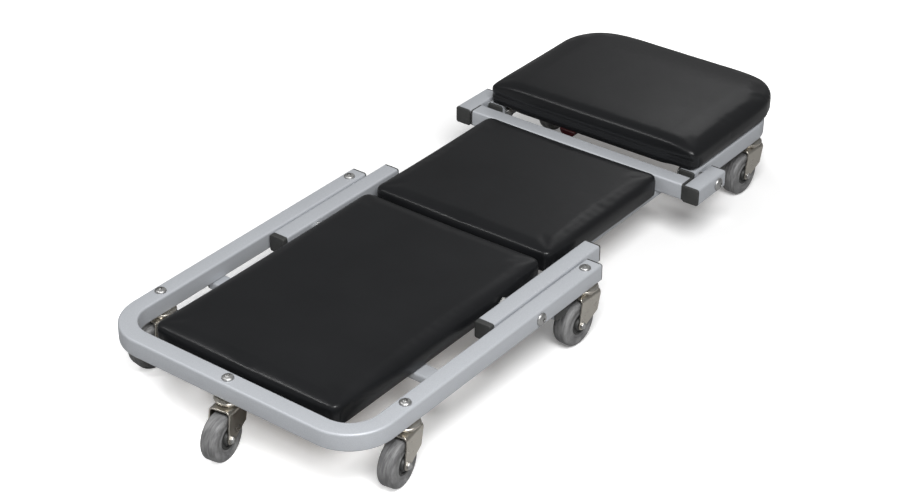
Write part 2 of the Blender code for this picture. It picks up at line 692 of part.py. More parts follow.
def build_head(head):
    near = HEAD_HINGE_AT - HEAD_STUB
    seat = CASTER_HEIGHT + WALL
    frame = u_tube(HEAD_X, HEAD_END_AT, near + CAP_THIN + GAP, HEAD_BEND)
    holes = []
    for name, side in SIDES:
        x = side * HEAD_X
        holes += [stem_hole(x, HEAD_CASTER_AT, seat), cross_hole(x, HEAD_HINGE_AT)]
        head.add(f"{name}_head_cap", end_cap(x, near, -1, CAP_THIN), "black_plastic")
        head.add(f"head_{name}_stem", stem(x, HEAD_CASTER_AT, seat), "zinc")
    head.add("head_frame", carve(frame, holes), "silver_paint")
    head.add("head_cross_bar", cross_bar(HEAD_X + TUBE / 2 - BAR_INSET, HEAD_BAR_AT), "silver_paint")
    head.add("pull_grip", pull_grip(), "red_plastic")

    bottom = FRAME_TOP + GAP
    plan = pad_plan(HEAD_PAD_AT, HEAD_PAD_END, HEAD_PAD_WIDTH / 2, HEAD_PAD_NEAR_CORNER, HEAD_PAD_FAR_CORNER)
    head.add("head_pad_board", board(plan, bottom), "plywood")
    pad = cushion(plan, bottom, HEAD_PAD_THICK, HEAD_PAD_EDGE, HEAD_PAD_CROWN)
    head.add("head_pad_cushion", pad, "black_vinyl")


def build_casters(base, head):
    """Seven swivel casters: each fork turns about its stem, each wheel about its axle."""
    spots = [("rail", base, 0, 0, RAIL_YAW)]
    for name, side in SIDES:
        spots.append((f"front_{name}", base, side * ARM_X, FRONT_CASTER_AT, side * FRONT_YAW))
        spots.append((f"rear_{name}", base, side * ARM_X, REAR_CASTER_AT, side * REAR_YAW))
        spots.append((f"head_{name}", head, side * HEAD_X, HEAD_CASTER_AT, side * HEAD_YAW))
    fork_mesh = fork()
    hub_mesh = hub()
    tyre_mesh = tyre()
    for name, carrier, x, station, yaw in spots:
        swivel = Carrier(f"{name}_swivel", carrier.collection, (x, station, 0), carrier)
        swivel.empty.rotation_euler.z = yaw
        swivel.add(f"{name}_fork", fork_mesh, "nickel", Matrix())
        spin = Carrier(f"{name}_spin", carrier.collection, (0, -TRAIL, WHEEL_RADIUS))
        spin.empty.parent = swivel.empty
        spin.add(f"{name}_hub", hub_mesh, "black_plastic", Matrix())
        spin.add(f"{name}_tyre", tyre_mesh, "grey_rubber", Matrix())


def main():
    clear_scene()
    collection = bpy.data.collections.new("folding_mechanic_creeper")
    bpy.context.scene.collection.children.link(collection)
    base = Carrier("creeper_base", collection, (0, 0, 0))
    base.empty.location.y = -LENGTH_MIDDLE
    middle = Carrier("middle_fold", collection, (0, HINGE_AT, AXIS_HEIGHT), base)
    head = Carrier("head_fold", collection, (0, HEAD_HINGE_AT, AXIS_HEIGHT), middle)
    build_base(base)
    build_middle(middle)
    build_head(head)
    build_casters(base, head)


main()
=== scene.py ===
"""Looks of the folding mechanic creeper: painted tube, plated casters and padded black vinyl."""

import functools
import json
import math

import bmesh
import bpy
from mathutils import Matrix, Vector


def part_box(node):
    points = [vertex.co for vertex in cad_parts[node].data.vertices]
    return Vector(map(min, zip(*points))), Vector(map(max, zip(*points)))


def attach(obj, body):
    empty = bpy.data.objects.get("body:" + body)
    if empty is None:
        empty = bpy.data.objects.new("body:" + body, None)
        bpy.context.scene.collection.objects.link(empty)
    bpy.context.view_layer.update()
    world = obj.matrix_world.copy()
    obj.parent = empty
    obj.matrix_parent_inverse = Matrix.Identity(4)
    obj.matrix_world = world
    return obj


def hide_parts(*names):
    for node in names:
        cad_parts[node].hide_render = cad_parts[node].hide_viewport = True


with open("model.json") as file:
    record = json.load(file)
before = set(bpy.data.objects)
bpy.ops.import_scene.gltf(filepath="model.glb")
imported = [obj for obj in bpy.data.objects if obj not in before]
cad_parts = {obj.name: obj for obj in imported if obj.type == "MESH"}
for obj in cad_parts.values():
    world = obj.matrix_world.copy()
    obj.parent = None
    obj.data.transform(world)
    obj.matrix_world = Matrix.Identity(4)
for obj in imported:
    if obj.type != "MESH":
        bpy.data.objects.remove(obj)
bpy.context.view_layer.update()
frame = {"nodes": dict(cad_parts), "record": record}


# Sizes in metres, read from the frame where it has them

@functools.cache
def low(node):
    return Vector(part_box(node)[0])


@functools.cache
def high(node):
    return Vector(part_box(node)[1])


def middle(node):
    return (low(node) + high(node)) / 2


def joint(name):
    """Where a joint's axis stands."""
    return Vector(next(j["pos_m"] for j in frame["record"]["behaviour"]["joints"] if j["name"] == name))


def joint_axis(name):
    return Vector(next(j["axis"] for j in frame["record"]["behaviour"]["joints"] if j["name"] == name))


TUBE = high("base_frame").z - low("base_frame").z
FRAME_TOP = high("base_frame").z
TUBE_FLOOR = low("base_frame").z
TUBE_MIDDLE = (FRAME_TOP + TUBE_FLOOR) / 2
TUBE_ROUND = 0.0032
TUBE_WALL = 0.0016
BEND = 0.0527
CORNER_STEPS = 5
BEND_STEPS = 20

WHEEL_RADIUS = middle("rail_tyre").z
TREAD_HALF = 0.0115
TREAD_SHOULDER = 0.0055
HUB_HALF = 0.01275
HUB_RADIUS = (high("rail_hub").z - low("rail_hub").z) / 2
TRAIL = (joint("rail_roll") - joint("rail_swivel")).xy.length
CROWN_TOP = high("rail_fork").z
CROWN_FRONT = 0.0185
CROWN_BACK = 0.0225
CROWN_DEPTH = 0.006
LEG_END = 0.0068
LEG_CORNER_FRONT = 0.0105
LEG_CORNER_HEIGHT = 0.0095
LEG_SWEEP = 0.9
CROWN_ROUND = 0.45
FORK_SHEET = 0.0024
FORK_SHOULDER = 0.0062
HUB_GAP = 0.0004
FORK_HALF = HUB_HALF + HUB_GAP + FORK_SHEET
CAP_THIN = 0.003
CAP_EDGE = 0.0012
CAP_THICK = 0.008

CASTERS = ("rail", "front_left", "front_right", "rear_left", "rear_right", "head_left", "head_right")
SIDES = (("left", -1), ("right", 1))


# Finishes

def shader_nodes(name, colour, roughness, metallic=0.0):
    """A new material, its node tree, its Principled shader and an Object coordinate."""
    material = bpy.data.materials.new(name)
    material.use_nodes = True
    tree = material.node_tree
    shader = tree.nodes["Principled BSDF"]
    shader.inputs["Base Color"].default_value = (*colour, 1)
    shader.inputs["Roughness"].default_value = roughness
    shader.inputs["Metallic"].default_value = metallic
    place = tree.nodes.new("ShaderNodeTexCoord").outputs["Object"]
    return material, tree, shader, place


def noise(tree, place, scale, detail=3.0, roughness=0.55):
    node = tree.nodes.new("ShaderNodeTexNoise")
    node.inputs["Scale"].default_value = scale
    node.inputs["Detail"].default_value = detail
    node.inputs["Roughness"].default_value = roughness
    tree.links.new(place, node.inputs["Vector"])
    return node.outputs["Fac"]


def cells(tree, place, scale):
    node = tree.nodes.new("ShaderNodeTexVoronoi")
    node.inputs["Scale"].default_value = scale
    tree.links.new(place, node.inputs["Vector"])
    return node.outputs["Distance"]


def ramp(tree, value, stops):
    """Map a value through two stops of (position, grey)."""
    node = tree.nodes.new("ShaderNodeValToRGB")
    for point, (position, grey) in zip(node.color_ramp.elements, stops):
        point.position = position
        point.color = (grey, grey, grey, 1)
    tree.links.new(value, node.inputs["Fac"])
    return node.outputs["Color"]


def mix_colour(tree, fac, first, second):
    node = tree.nodes.new("ShaderNodeMix")
    node.data_type = "RGBA"
    tree.links.new(fac, node.inputs["Factor"])
    node.inputs["A"].default_value = (*first, 1)
    node.inputs["B"].default_value = (*second, 1)
    return node.outputs["Result"]


def tint(tree, shader, fac, first, second):
    """Colour the shader from the first colour to the second by a factor."""
    tree.links.new(mix_colour(tree, fac, first, second), shader.inputs["Base Color"])


def roughen(tree, shader, fac, stops):
    """Set the shader's roughness through stops."""
    tree.links.new(ramp(tree, fac, stops), shader.inputs["Roughness"])


def bump(tree, shader, height, strength, distance, under=None):
    """Add a bump to the shader, over an earlier one if given."""
    node = tree.nodes.new("ShaderNodeBump")
    node.inputs["Strength"].default_value = strength
    node.inputs["Distance"].default_value = distance
    tree.links.new(height, node.inputs["Height"])
    if under:
        tree.links.new(under, node.inputs["Normal"])
    tree.links.new(node.outputs["Normal"], shader.inputs["Normal"])
    return node.outputs["Normal"]


def silver_paint():
    """Silver-grey metallic powder coat: faint orange peel and a fine fleck."""
    material, tree, shader, place = shader_nodes("silver_paint", (0.5, 0.52, 0.55), 0.54, 0.3)
    fleck = ramp(tree, noise(tree, place, 1500, 2), ((0.35, 0.0), (0.65, 1.0)))
    cloud = noise(tree, place, 14, 4)
    tint(tree, shader, fleck, (0.46, 0.48, 0.51), (0.54, 0.56, 0.59))
    roughen(tree, shader, cloud, ((0.3, 0.5), (0.7, 0.58)))
    bump(tree, shader, noise(tree, place, 650, 2), 0.08, 0.0002)
    return material


def black_vinyl():
    """Black satin vinyl: a fine leather grain over soft creases."""
    material, tree, shader, place = shader_nodes("black_vinyl", (0.008, 0.0085, 0.0095), 0.34)
    shader.inputs["Specular IOR Level"].default_value = 0.31
    cloud = noise(tree, place, 9, 4)
    tint(tree, shader, cloud, (0.006, 0.0064, 0.0072), (0.011, 0.0115, 0.0128))
    roughen(tree, shader, cloud, ((0.3, 0.3), (0.7, 0.38)))
    crease = bump(tree, shader, noise(tree, place, 22, 3), 0.12, 0.002)
    pores = ramp(tree, cells(tree, place, 750), ((0.0, 0.0), (0.55, 1.0)))
    bump(tree, shader, pores, 0.16, 0.00025, crease)
    return material


def black_plastic():
    """Moulded black plastic with a spark-eroded texture."""
    material, tree, shader, place = shader_nodes("black_plastic", (0.035, 0.036, 0.035), 0.6)
    cloud = noise(tree, place, 40, 3)
    tint(tree, shader, cloud, (0.028, 0.029, 0.028), (0.046, 0.047, 0.046))
    roughen(tree, shader, cloud, ((0.3, 0.52), (0.7, 0.66)))
    bump(tree, shader, noise(tree, place, 1100, 3), 0.25, 0.0002)
    return material


def plated(name, first, second, roughness):
    """Plated steel with a faint drawn grain and cloudy sheen."""
    material, tree, shader, place = shader_nodes(name, first, roughness, 1.0)
    cloud = noise(tree, place, 60, 4)
    tint(tree, shader, cloud, first, second)
    roughen(tree, shader, cloud, ((0.3, roughness * 0.8), (0.7, roughness * 1.3)))
    bump(tree, shader, noise(tree, place, 420, 3), 0.06, 0.0002)
    return material


def grey_tread():
    """Grey moulded tread with pale streaks drawn out along the rolling direction: painted highlights
    standing in for light caught on the tread.
    """
    material, tree, shader, place = shader_nodes("grey_tread", (0.19, 0.19, 0.19), 0.45)
    drawn = tree.nodes.new("ShaderNodeMapping")
    drawn.inputs["Scale"].default_value = (7, 1, 1)
    tree.links.new(place, drawn.inputs["Vector"])
    highlight_streaks = ramp(tree, noise(tree, drawn.outputs["Vector"], 45, 6, 0.65), ((0.4, 0.0), (0.68, 1.0)))
    # Painted highlight: the pale streaks are coloured into the tread to stand for light running along it;
    # they also set the roughness.
    tint(tree, shader, highlight_streaks, (0.115, 0.115, 0.117), (0.26, 0.26, 0.26))
    roughen(tree, shader, highlight_streaks, ((0.0, 0.45), (1.0, 0.62)))
    bump(tree, shader, noise(tree, place, 300, 4), 0.12, 0.0004)
    return material


def red_plastic():
    """Dark red moulded plastic."""
    material, tree, shader, place = shader_nodes("red_plastic", (0.022, 0.001, 0.002), 0.45)
    tint(tree, shader, noise(tree, place, 70, 3), (0.017, 0.0008, 0.0015), (0.03, 0.0015, 0.0025))
    bump(tree, shader, noise(tree, place, 900, 2), 0.08, 0.0002)
    return material


def plywood():
    """Bare plywood with long grain along the creeper."""
    material, tree, shader, place = shader_nodes("plywood", (0.4, 0.27, 0.15), 0.7)
    stretch = tree.nodes.new("ShaderNodeMapping")
    stretch.inputs["Scale"].default_value = (60, 4, 60)
    tree.links.new(place, stretch.inputs["Vector"])
    grain = noise(tree, stretch.outputs["Vector"], 1.0, 6, 0.6)
    tint(tree, shader, grain, (0.3, 0.19, 0.1), (0.5, 0.35, 0.2))
    bump(tree, shader, grain, 0.2, 0.0005)
    return material


SILVER = silver_paint()
VINYL = black_vinyl()
PLASTIC = black_plastic()
ZINC = plated("zinc", (0.42, 0.42, 0.42), (0.5, 0.5, 0.49), 0.42)
NICKEL = plated("nickel_plate", (0.5, 0.47, 0.42), (0.62, 0.59, 0.53), 0.3)
TREAD = grey_tread()
RED = red_plastic()
PLYWOOD = plywood()


# Making and placing pieces

ALONG_X = Matrix.Rotation(math.pi / 2, 4, "Y")
ALONG_Y = Matrix.Rotation(-math.pi / 2, 4, "X")


def piece(name, bm, body, finish, nodes=(), soft_edge=0.0, angle=40):
    """Turn a bmesh into a piece that rides on a body and stands for the CAD nodes given."""
    bmesh.ops.recalc_face_normals(bm, faces=bm.faces)
    mesh = bpy.data.meshes.new(name)
    bm.to_mesh(mesh)
    bm.free()
    mesh.materials.append(finish)
    mesh.shade_smooth()
    mesh.set_sharp_from_angle(angle=math.radians(angle))
    thing = bpy.data.objects.new(name, mesh)
    bpy.context.scene.collection.objects.link(thing)
    if soft_edge:
        round_over = thing.modifiers.new("soft edge", "BEVEL")
        round_over.width = soft_edge
        round_over.segments = 2
        round_over.limit_method = "ANGLE"
        round_over.angle_limit = math.radians(angle)
    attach(thing, body)
    if nodes:
        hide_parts(*nodes)
    return thing


def move_to(*spot):
    return Matrix.Translation(Vector(spot))


def rounded_face(bm, width, height, radius, steps=CORNER_STEPS):
    """A rounded rectangle in the XY plane, as one face."""
    bmesh.ops.create_grid(bm, x_segments=1, y_segments=1, size=0.5)
    bmesh.ops.scale(bm, vec=(width, height, 1), verts=bm.verts)
    bmesh.ops.bevel(bm, geom=bm.verts[:], offset=radius, offset_type="OFFSET", segments=steps,
                    profile=0.5, affect="VERTICES", material=-1)
    return bm.faces[:]


def sweep(bm, faces, moves):
    """Carry a face along a run of moves, leaving a closed body; returns the last face."""
    for index, move in enumerate(moves):
        made = bmesh.ops.extrude_face_region(bm, geom=faces)["geom"]
        if index:
            bmesh.ops.delete(bm, geom=faces, context="FACES")
        faces = [item for item in made if isinstance(item, bmesh.types.BMFace)]
        verts = [item for item in made if isinstance(item, bmesh.types.BMVert)]
        bmesh.ops.transform(bm, matrix=move, verts=verts)
    return faces


def quarter_turn(x, y):
    """Moves round a bend to the left about an upright line."""
    turn = Matrix.Rotation(math.pi / 2 / BEND_STEPS, 4, "Z")
    return [move_to(x, y, 0) @ turn @ move_to(-x, -y, 0)] * BEND_STEPS


def turned(bm, profile, segments, matrix=Matrix()):
    """Spin (radius, height) points about Z and set the shape in place."""
    verts = [bm.verts.new((radius, 0, height)) for radius, height in profile]
    edges = [bm.edges.new(pair) for pair in zip(verts, verts[1:])]
    bmesh.ops.spin(bm, geom=verts + edges, cent=(0, 0, 0), axis=(0, 0, 1), angle=2 * math.pi,
                   steps=segments, use_merge=True)
    bmesh.ops.remove_doubles(bm, verts=bm.verts, dist=0.00001)
    bmesh.ops.transform(bm, matrix=matrix, verts=bm.verts)


def arc(x, y, radius, start, end, steps):
    """Points on an arc, angles in degrees."""
    angles = [math.radians(start + (end - start) * step / steps) for step in range(steps + 1)]
    return [(x + radius * math.cos(a), y + radius * math.sin(a)) for a in angles]


# Frame tubes

def u_tube(node, body, arm_x, round_end):
    """A square tube bent into a U: up one arm, round two bends and back down the other.

    The closed end is at the low-y side, or at the high-y side when round_end is 1."""
    closed = low(node).y + TUBE / 2 if round_end < 0 else high(node).y - TUBE / 2
    open_end = high(node).y if round_end < 0 else low(node).y
    bend_y = closed - round_end * BEND
    bm = bmesh.new()
    face = rounded_face(bm, TUBE, TUBE, TUBE_ROUND)
    start = move_to(round_end * arm_x, open_end, TUBE_MIDDLE) @ Matrix.Rotation(math.pi / 2, 4, "X")
    bmesh.ops.transform(bm, matrix=start, verts=bm.verts)
    across = -round_end * 2 * (arm_x - BEND)
    moves = [move_to(0, bend_y - open_end, 0)]
    moves += quarter_turn(round_end * (arm_x - BEND), bend_y)
    moves += [move_to(across, 0, 0)]
    moves += quarter_turn(-round_end * (arm_x - BEND), bend_y)
    moves += [move_to(0, open_end - bend_y, 0)]
    sweep(bm, face, moves)
    piece(node + "_tube", bm, body, SILVER, [node])


def box_tube(node, body, axis, capped=0.0):
    """A straight rounded tube in a node's box along one axis, hollow at its ends.

    It stops short of a cap at its far end, or at both ends when it lies across."""
    size = high(node) - low(node)
    spot = middle(node)
    if axis == "Y":
        size.y -= capped
        spot.y -= capped / 2
    else:
        size.x -= 2 * capped
    lie = ALONG_X if axis == "X" else ALONG_Y
    wide, tall, long = (size.z, size.y, size.x) if axis == "X" else (size.x, size.z, size.y)
    bm = bmesh.new()
    face = rounded_face(bm, wide, tall, TUBE_ROUND)
    bmesh.ops.translate(bm, vec=(0, 0, -long / 2), verts=bm.verts)
    sweep(bm, face, [move_to(0, 0, long)])
    bm.normal_update()
    for end in [item for item in bm.faces if abs(item.normal.z) > 0.9]:
        inward = -math.copysign(TUBE, end.calc_center_median().z)
        bmesh.ops.inset_region(bm, faces=[end], thickness=TUBE_WALL, use_even_offset=True)
        pushed = bmesh.ops.extrude_face_region(bm, geom=[end])["geom"]
        moved = [item for item in pushed if isinstance(item, bmesh.types.BMVert)]
        bmesh.ops.translate(bm, vec=(0, 0, inward), verts=moved)
        bmesh.ops.delete(bm, geom=[end], context="FACES_ONLY")
    bmesh.ops.transform(bm, matrix=Matrix.Translation(spot) @ lie, verts=bm.verts)
    piece(node + "_steel", bm, body, SILVER, [node])


def cap_slab(wide, tall, thick):
    """A slab with a soft outer edge, standing on the origin."""
    bm = bmesh.new()
    face = rounded_face(bm, wide, tall, TUBE_ROUND)
    last = sweep(bm, face, [move_to(0, 0, thick)])
    rim = last[0].edges[:]
    bmesh.ops.bevel(bm, geom=rim, offset=CAP_EDGE, segments=3, profile=0.5, affect="EDGES", material=-1)
    return bm


def tube_cap(name, body, x, end, outward, thick, nodes=()):
    """A moulded cap on a tube end; outward is 1 toward the head."""
    bm = cap_slab(TUBE, TUBE, thick)
    turn = Matrix.Rotation(-outward * math.pi / 2, 4, "X")
    spot = move_to(x, end - outward * thick, TUBE_MIDDLE)
    bmesh.ops.transform(bm, matrix=spot @ turn, verts=bm.verts)
    piece(name, bm, body, PLASTIC, nodes)


def bar_cap(node, body, side, outward):
    """A moulded cap on one end of a bar that lies across; outward is 1 toward +x."""
    size = high(node) - low(node)
    bm = cap_slab(size.z, size.y, CAP_THIN)
    spot = middle(node)
    spot.x += outward * (size.x / 2 - CAP_THIN)
    turn = Matrix.Rotation(outward * math.pi / 2, 4, "Y")
    bmesh.ops.transform(bm, matrix=Matrix.Translation(spot) @ turn, verts=bm.verts)
    piece(f"{node}_{side}_cap", bm, body, PLASTIC)


u_tube("base_frame", "base", joint("front_right_swivel").x, -1)
u_tube("head_frame", "head", joint("head_right_swivel").x, 1)
for bar, body in (("base_cross_member", "base"), ("fold_stop_bar", "base"), ("middle_front_bar", "middle"),
                  ("middle_cross_tube", "middle"), ("head_cross_bar", "head")):
    box_tube(bar, body, "X", CAP_THIN)
    for side, outward in SIDES:
        bar_cap(bar, body, side, outward)
for side, _ in SIDES:
    box_tube(f"{side}_middle_rail", "middle", "Y")
    for tube in ("lift", "hinge"):
        node = f"{side}_{tube}_tube"
        box_tube(node, "middle", "Y", CAP_THIN)
        tube_cap(node + "_far_cap", "middle", middle(node).x, high(node).y, 1, CAP_THIN)
    for cap, body, outward, thick in (("arm", "base", 1, CAP_THIN), ("lift", "middle", -1, CAP_THICK),
                                      ("hinge", "middle", -1, CAP_THIN), ("head", "head", -1, CAP_THIN)):
        node = f"{side}_{cap}_cap"
        end = high(node).y if outward > 0 else low(node).y
        tube_cap(node + "_moulding", body, middle(node).x, end, outward, thick, [node])


# Casters, each built about its own stem and then stood in its place

AXLE_HEAD = 0.005
AXLE_HEAD_HEIGHT = 0.0044
AXLE_SHANK = AXLE_HEAD * 0.6
BOSS_BORE = AXLE_HEAD * 0.62
BOSS_RADIUS = 0.0078
RIM_SINK = 0.0008
BUTTON_RADIUS = 0.0078
BUTTON_HEIGHT = 0.0042
BUTTON_SOCKET = 0.003
SOCKET_DEPTH = 0.0036
SOCKET_SPREAD = 1.08
STEM_RADIUS = 0.0045
RACE_GAP = 0.0002
FORK_EDGE = 0.0005
AXLE_EDGE = 0.0005
FORK_COLUMNS = 64
FORK_ROWS = 8
HEX = 6
TYRE_SEGMENTS = 72
CORE_SEGMENTS = 48
BOLT_SEGMENTS = 48
RACE_SEGMENTS = 56
# Steps of the tyre's side, as distance out from the hub and depth below the side
TYRE_SIDE = ((0.0002, 0.0012), (0.0010, 0.0004), (0.0030, 0.0003), (0.0036, 0.0007),
             (0.0072, 0.0006), (0.0080, 0))


def caster_place(caster):
    """Where a caster stands and which way it has swung."""
    stem = joint(caster + "_swivel")
    axis = joint_axis(caster + "_roll")
    return move_to(stem.x, stem.y, 0) @ Matrix.Rotation(math.atan(axis.y / axis.x), 4, "Z")


def axle_place(caster):
    """The middle of a caster's axle, with Z turned along it."""
    return caster_place(caster) @ move_to(0, -TRAIL, WHEEL_RADIUS) @ ALONG_X


def turned_ring(bm, profile, segments, matrix):
    """Spin a closed profile into a ring."""
    turned(bm, profile + profile[:1], segments, matrix)


def mirrored(half):
    """A closed profile from the half of it on one side of the wheel."""
    return half[::-1] + [(radius, -height) for radius, height in half[1:-1]]


def tyre(caster):
    """A moulded tread: flat face with soft shoulders and a raised ring on each side."""
    side = TREAD_HALF
    half = [(HUB_RADIUS + TYRE_SIDE[0][0], 0)]
    half += [(HUB_RADIUS + out, side - sunk) for out, sunk in TYRE_SIDE]
    half += arc(WHEEL_RADIUS - TREAD_SHOULDER, side - TREAD_SHOULDER, TREAD_SHOULDER, 88, 6, 8)
    half += [(WHEEL_RADIUS, side * 0.3), (WHEEL_RADIUS, 0)]
    bm = bmesh.new()
    turned_ring(bm, mirrored(half), TYRE_SEGMENTS, axle_place(caster))
    piece(caster + "_tread", bm, caster + "_wheel", TREAD, [caster + "_tyre"], angle=50)


def wheel_core(caster):
    """A moulded black core: rim, dished web and a boss round the axle."""
    rim = TREAD_HALF - RIM_SINK
    half = [(BOSS_BORE, 0), (BOSS_BORE, HUB_HALF), (BOSS_RADIUS, HUB_HALF)]
    half += [(BOSS_RADIUS + 0.0008, HUB_HALF - 0.0008), (BOSS_RADIUS + 0.0012, rim - 0.0022)]
    half += [(HUB_RADIUS - 0.0028, rim - 0.0018), (HUB_RADIUS - 0.0022, rim - 0.0003)]
    half += [(HUB_RADIUS - 0.0016, rim), (HUB_RADIUS, rim), (HUB_RADIUS, 0)]
    bm = bmesh.new()
    turned_ring(bm, mirrored(half), CORE_SEGMENTS, axle_place(caster))
    piece(caster + "_core", bm, caster + "_wheel", PLASTIC, [caster + "_hub"])


def smooth_step(value):
    share = min(1.0, max(0.0, value))
    return share * share * (3 - 2 * share)


def fork_edges(x, z):
    """Front and back edge of the fork's sheet at a point of its arch."""
    hem = CROWN_TOP - CROWN_DEPTH
    corner = WHEEL_RADIUS + LEG_CORNER_HEIGHT
    front = CROWN_FRONT * math.sqrt(1 - (CROWN_ROUND * x / FORK_HALF) ** 2)
    back = -CROWN_BACK
    bottom = WHEEL_RADIUS - LEG_END
    reach = math.sqrt(max(0.0, LEG_END ** 2 - (WHEEL_RADIUS - z) ** 2))
    if z < hem:
        back += (CROWN_BACK - TRAIL - LEG_END) * (hem - z) / (hem - WHEEL_RADIUS)
        front += (LEG_CORNER_FRONT - front) * (hem - z) / (hem - corner)
    if z < corner:
        share = (corner - z) / (corner - bottom)
        front = LEG_CORNER_FRONT + (-TRAIL - LEG_CORNER_FRONT) * share ** LEG_SWEEP
    if z < WHEEL_RADIUS:
        back = -TRAIL - reach
        front = max(front, -TRAIL + reach)
    return front, back


def fork(caster):
    """A fork pressed from one sheet: a grid bent over the crown's shoulders and trimmed to legs."""
    flat = FORK_HALF - FORK_SHOULDER
    bend = FORK_SHOULDER * math.pi / 2
    drop = CROWN_TOP - FORK_SHOULDER - WHEEL_RADIUS + LEG_END
    run = flat + bend + drop
    bm = bmesh.new()
    bmesh.ops.create_grid(bm, x_segments=FORK_COLUMNS, y_segments=FORK_ROWS, size=1)
    for vert in bm.verts:
        along = abs(vert.co.x) * run
        side = 1 if vert.co.x > 0 else -1
        x, z = along, CROWN_TOP
        if along > flat:
            swung = min(along - flat, bend) / FORK_SHOULDER
            x = flat + FORK_SHOULDER * math.sin(swung)
            z = CROWN_TOP - FORK_SHOULDER * (1 - math.cos(swung)) - max(0.0, along - flat - bend)
        front, back = fork_edges(x, z)
        vert.co = (side * x, back + (front - back) * (vert.co.y + 1) / 2, z)
    bmesh.ops.remove_doubles(bm, verts=bm.verts, dist=0.00002)
    bmesh.ops.recalc_face_normals(bm, faces=bm.faces)
    bmesh.ops.solidify(bm, geom=bm.faces[:], thickness=FORK_SHEET)
    bmesh.ops.transform(bm, matrix=caster_place(caster), verts=bm.verts)
    nodes = [caster + "_fork"]
    piece(caster + "_fork_pressing", bm, caster + "_swivel_body", NICKEL, nodes, FORK_EDGE)


def axle(caster):
    """The axle bolt: a shank with a domed hex head at each end."""
    bm = bmesh.new()
    top = FORK_HALF + AXLE_HEAD_HEIGHT
    half = [(AXLE_SHANK, 0), (AXLE_SHANK, FORK_HALF - 0.0004)]
    half += [(AXLE_HEAD, FORK_HALF - 0.0003), (AXLE_HEAD, FORK_HALF + AXLE_HEAD_HEIGHT * 0.55)]
    half += [(AXLE_HEAD * 0.8, FORK_HALF + AXLE_HEAD_HEIGHT * 0.7), (AXLE_HEAD * 0.5, top), (0, top)]
    turned(bm, [(radius, -height) for radius, height in reversed(half)] + half[1:], HEX, axle_place(caster))
    piece(caster + "_axle_bolt", bm, caster + "_swivel_body", ZINC, (), AXLE_EDGE, 25)


def button_profile(seat, radius, height):
    """Half section of a button head from its socket floor out to its seat."""
    floor = seat + height - SOCKET_DEPTH
    dome = [(radius * math.cos(a), seat + height * 0.2 + height * 0.8 * math.sin(a))
            for a in (math.radians(step * 8) for step in range(9))]
    socket = [(0, floor), (BUTTON_SOCKET, floor), (BUTTON_SOCKET, seat + height)]
    return socket + dome[::-1] + [(radius, seat)]


def hex_socket(bm, top, floor):
    """Draw the socket's rim and floor out into a hexagon."""
    for vert in bm.verts:
        reach = math.hypot(vert.co.x, vert.co.y)
        if abs(reach - BUTTON_SOCKET) < 0.00005 and floor - 0.0001 < vert.co.z < top + 0.0001:
            turn = math.atan2(vert.co.y, vert.co.x) % (math.pi / 3) - math.pi / 6
            vert.co.xy *= math.cos(math.pi / 6) / math.cos(turn) * SOCKET_SPREAD


def button_bolt(bm, seat, shank_radius, end, matrix, radius=BUTTON_RADIUS, height=BUTTON_HEIGHT):
    """A button-head bolt pointing down Z, from its head's seat to the end of its shank."""
    shank = [(shank_radius, seat), (shank_radius, end), (0, end)]
    part = bmesh.new()
    turned(part, button_profile(seat, radius, height) + shank, BOLT_SEGMENTS)
    hex_socket(part, seat + height, seat + height - SOCKET_DEPTH)
    bmesh.ops.transform(part, matrix=matrix, verts=part.verts)
    add_to(bm, part)


def add_to(bm, part):
    """Put a finished part into a piece's bmesh."""
    mesh = bpy.data.meshes.new("part")
    part.to_mesh(mesh)
    part.free()
    bm.from_mesh(mesh)
    bpy.data.meshes.remove(mesh)


def caster_stem(caster, body):
    """The bolt through the tube and the pressed race under it."""
    stem = joint(caster + "_swivel")
    node = caster + "_stem"
    place = move_to(stem.x, stem.y, 0)
    bm = bmesh.new()
    seat = high(node).z - BUTTON_HEIGHT
    button_bolt(bm, seat, STEM_RADIUS, low(node).z, place)
    piece(caster + "_caster_bolt", bm, body, ZINC, [node], angle=35)
    top = TUBE_FLOOR - RACE_GAP
    bottom = CROWN_TOP + RACE_GAP
    race = [(STEM_RADIUS, top), (0.0180, top), (0.0188, top - 0.0006), (0.0190, top - 0.0016)]
    race += [(0.0186, top - 0.0026), (0.0170, top - 0.0034), (0.0158, bottom + 0.0016)]
    race += [(0.0152, bottom), (STEM_RADIUS, bottom)]
    bm = bmesh.new()
    turned_ring(bm, race, RACE_SEGMENTS, place)
    piece(caster + "_race", bm, body, NICKEL, (), angle=35)


for caster in CASTERS:
    tyre(caster)
    wheel_core(caster)
    fork(caster)
    axle(caster)
    caster_stem(caster, "head" if caster.startswith("head") else "base")


# Hinge bolts

NUT_RADIUS = 0.0095
SPACER_RADIUS = 0.009
SPACER_BORE = 0.0048
SPACER_EDGE = 0.0004
HINGE_SHANK = 0.0047
HINGE_GAP = 0.0002
HINGE_EDGE = 0.0003
SPACER_SEGMENTS = 40


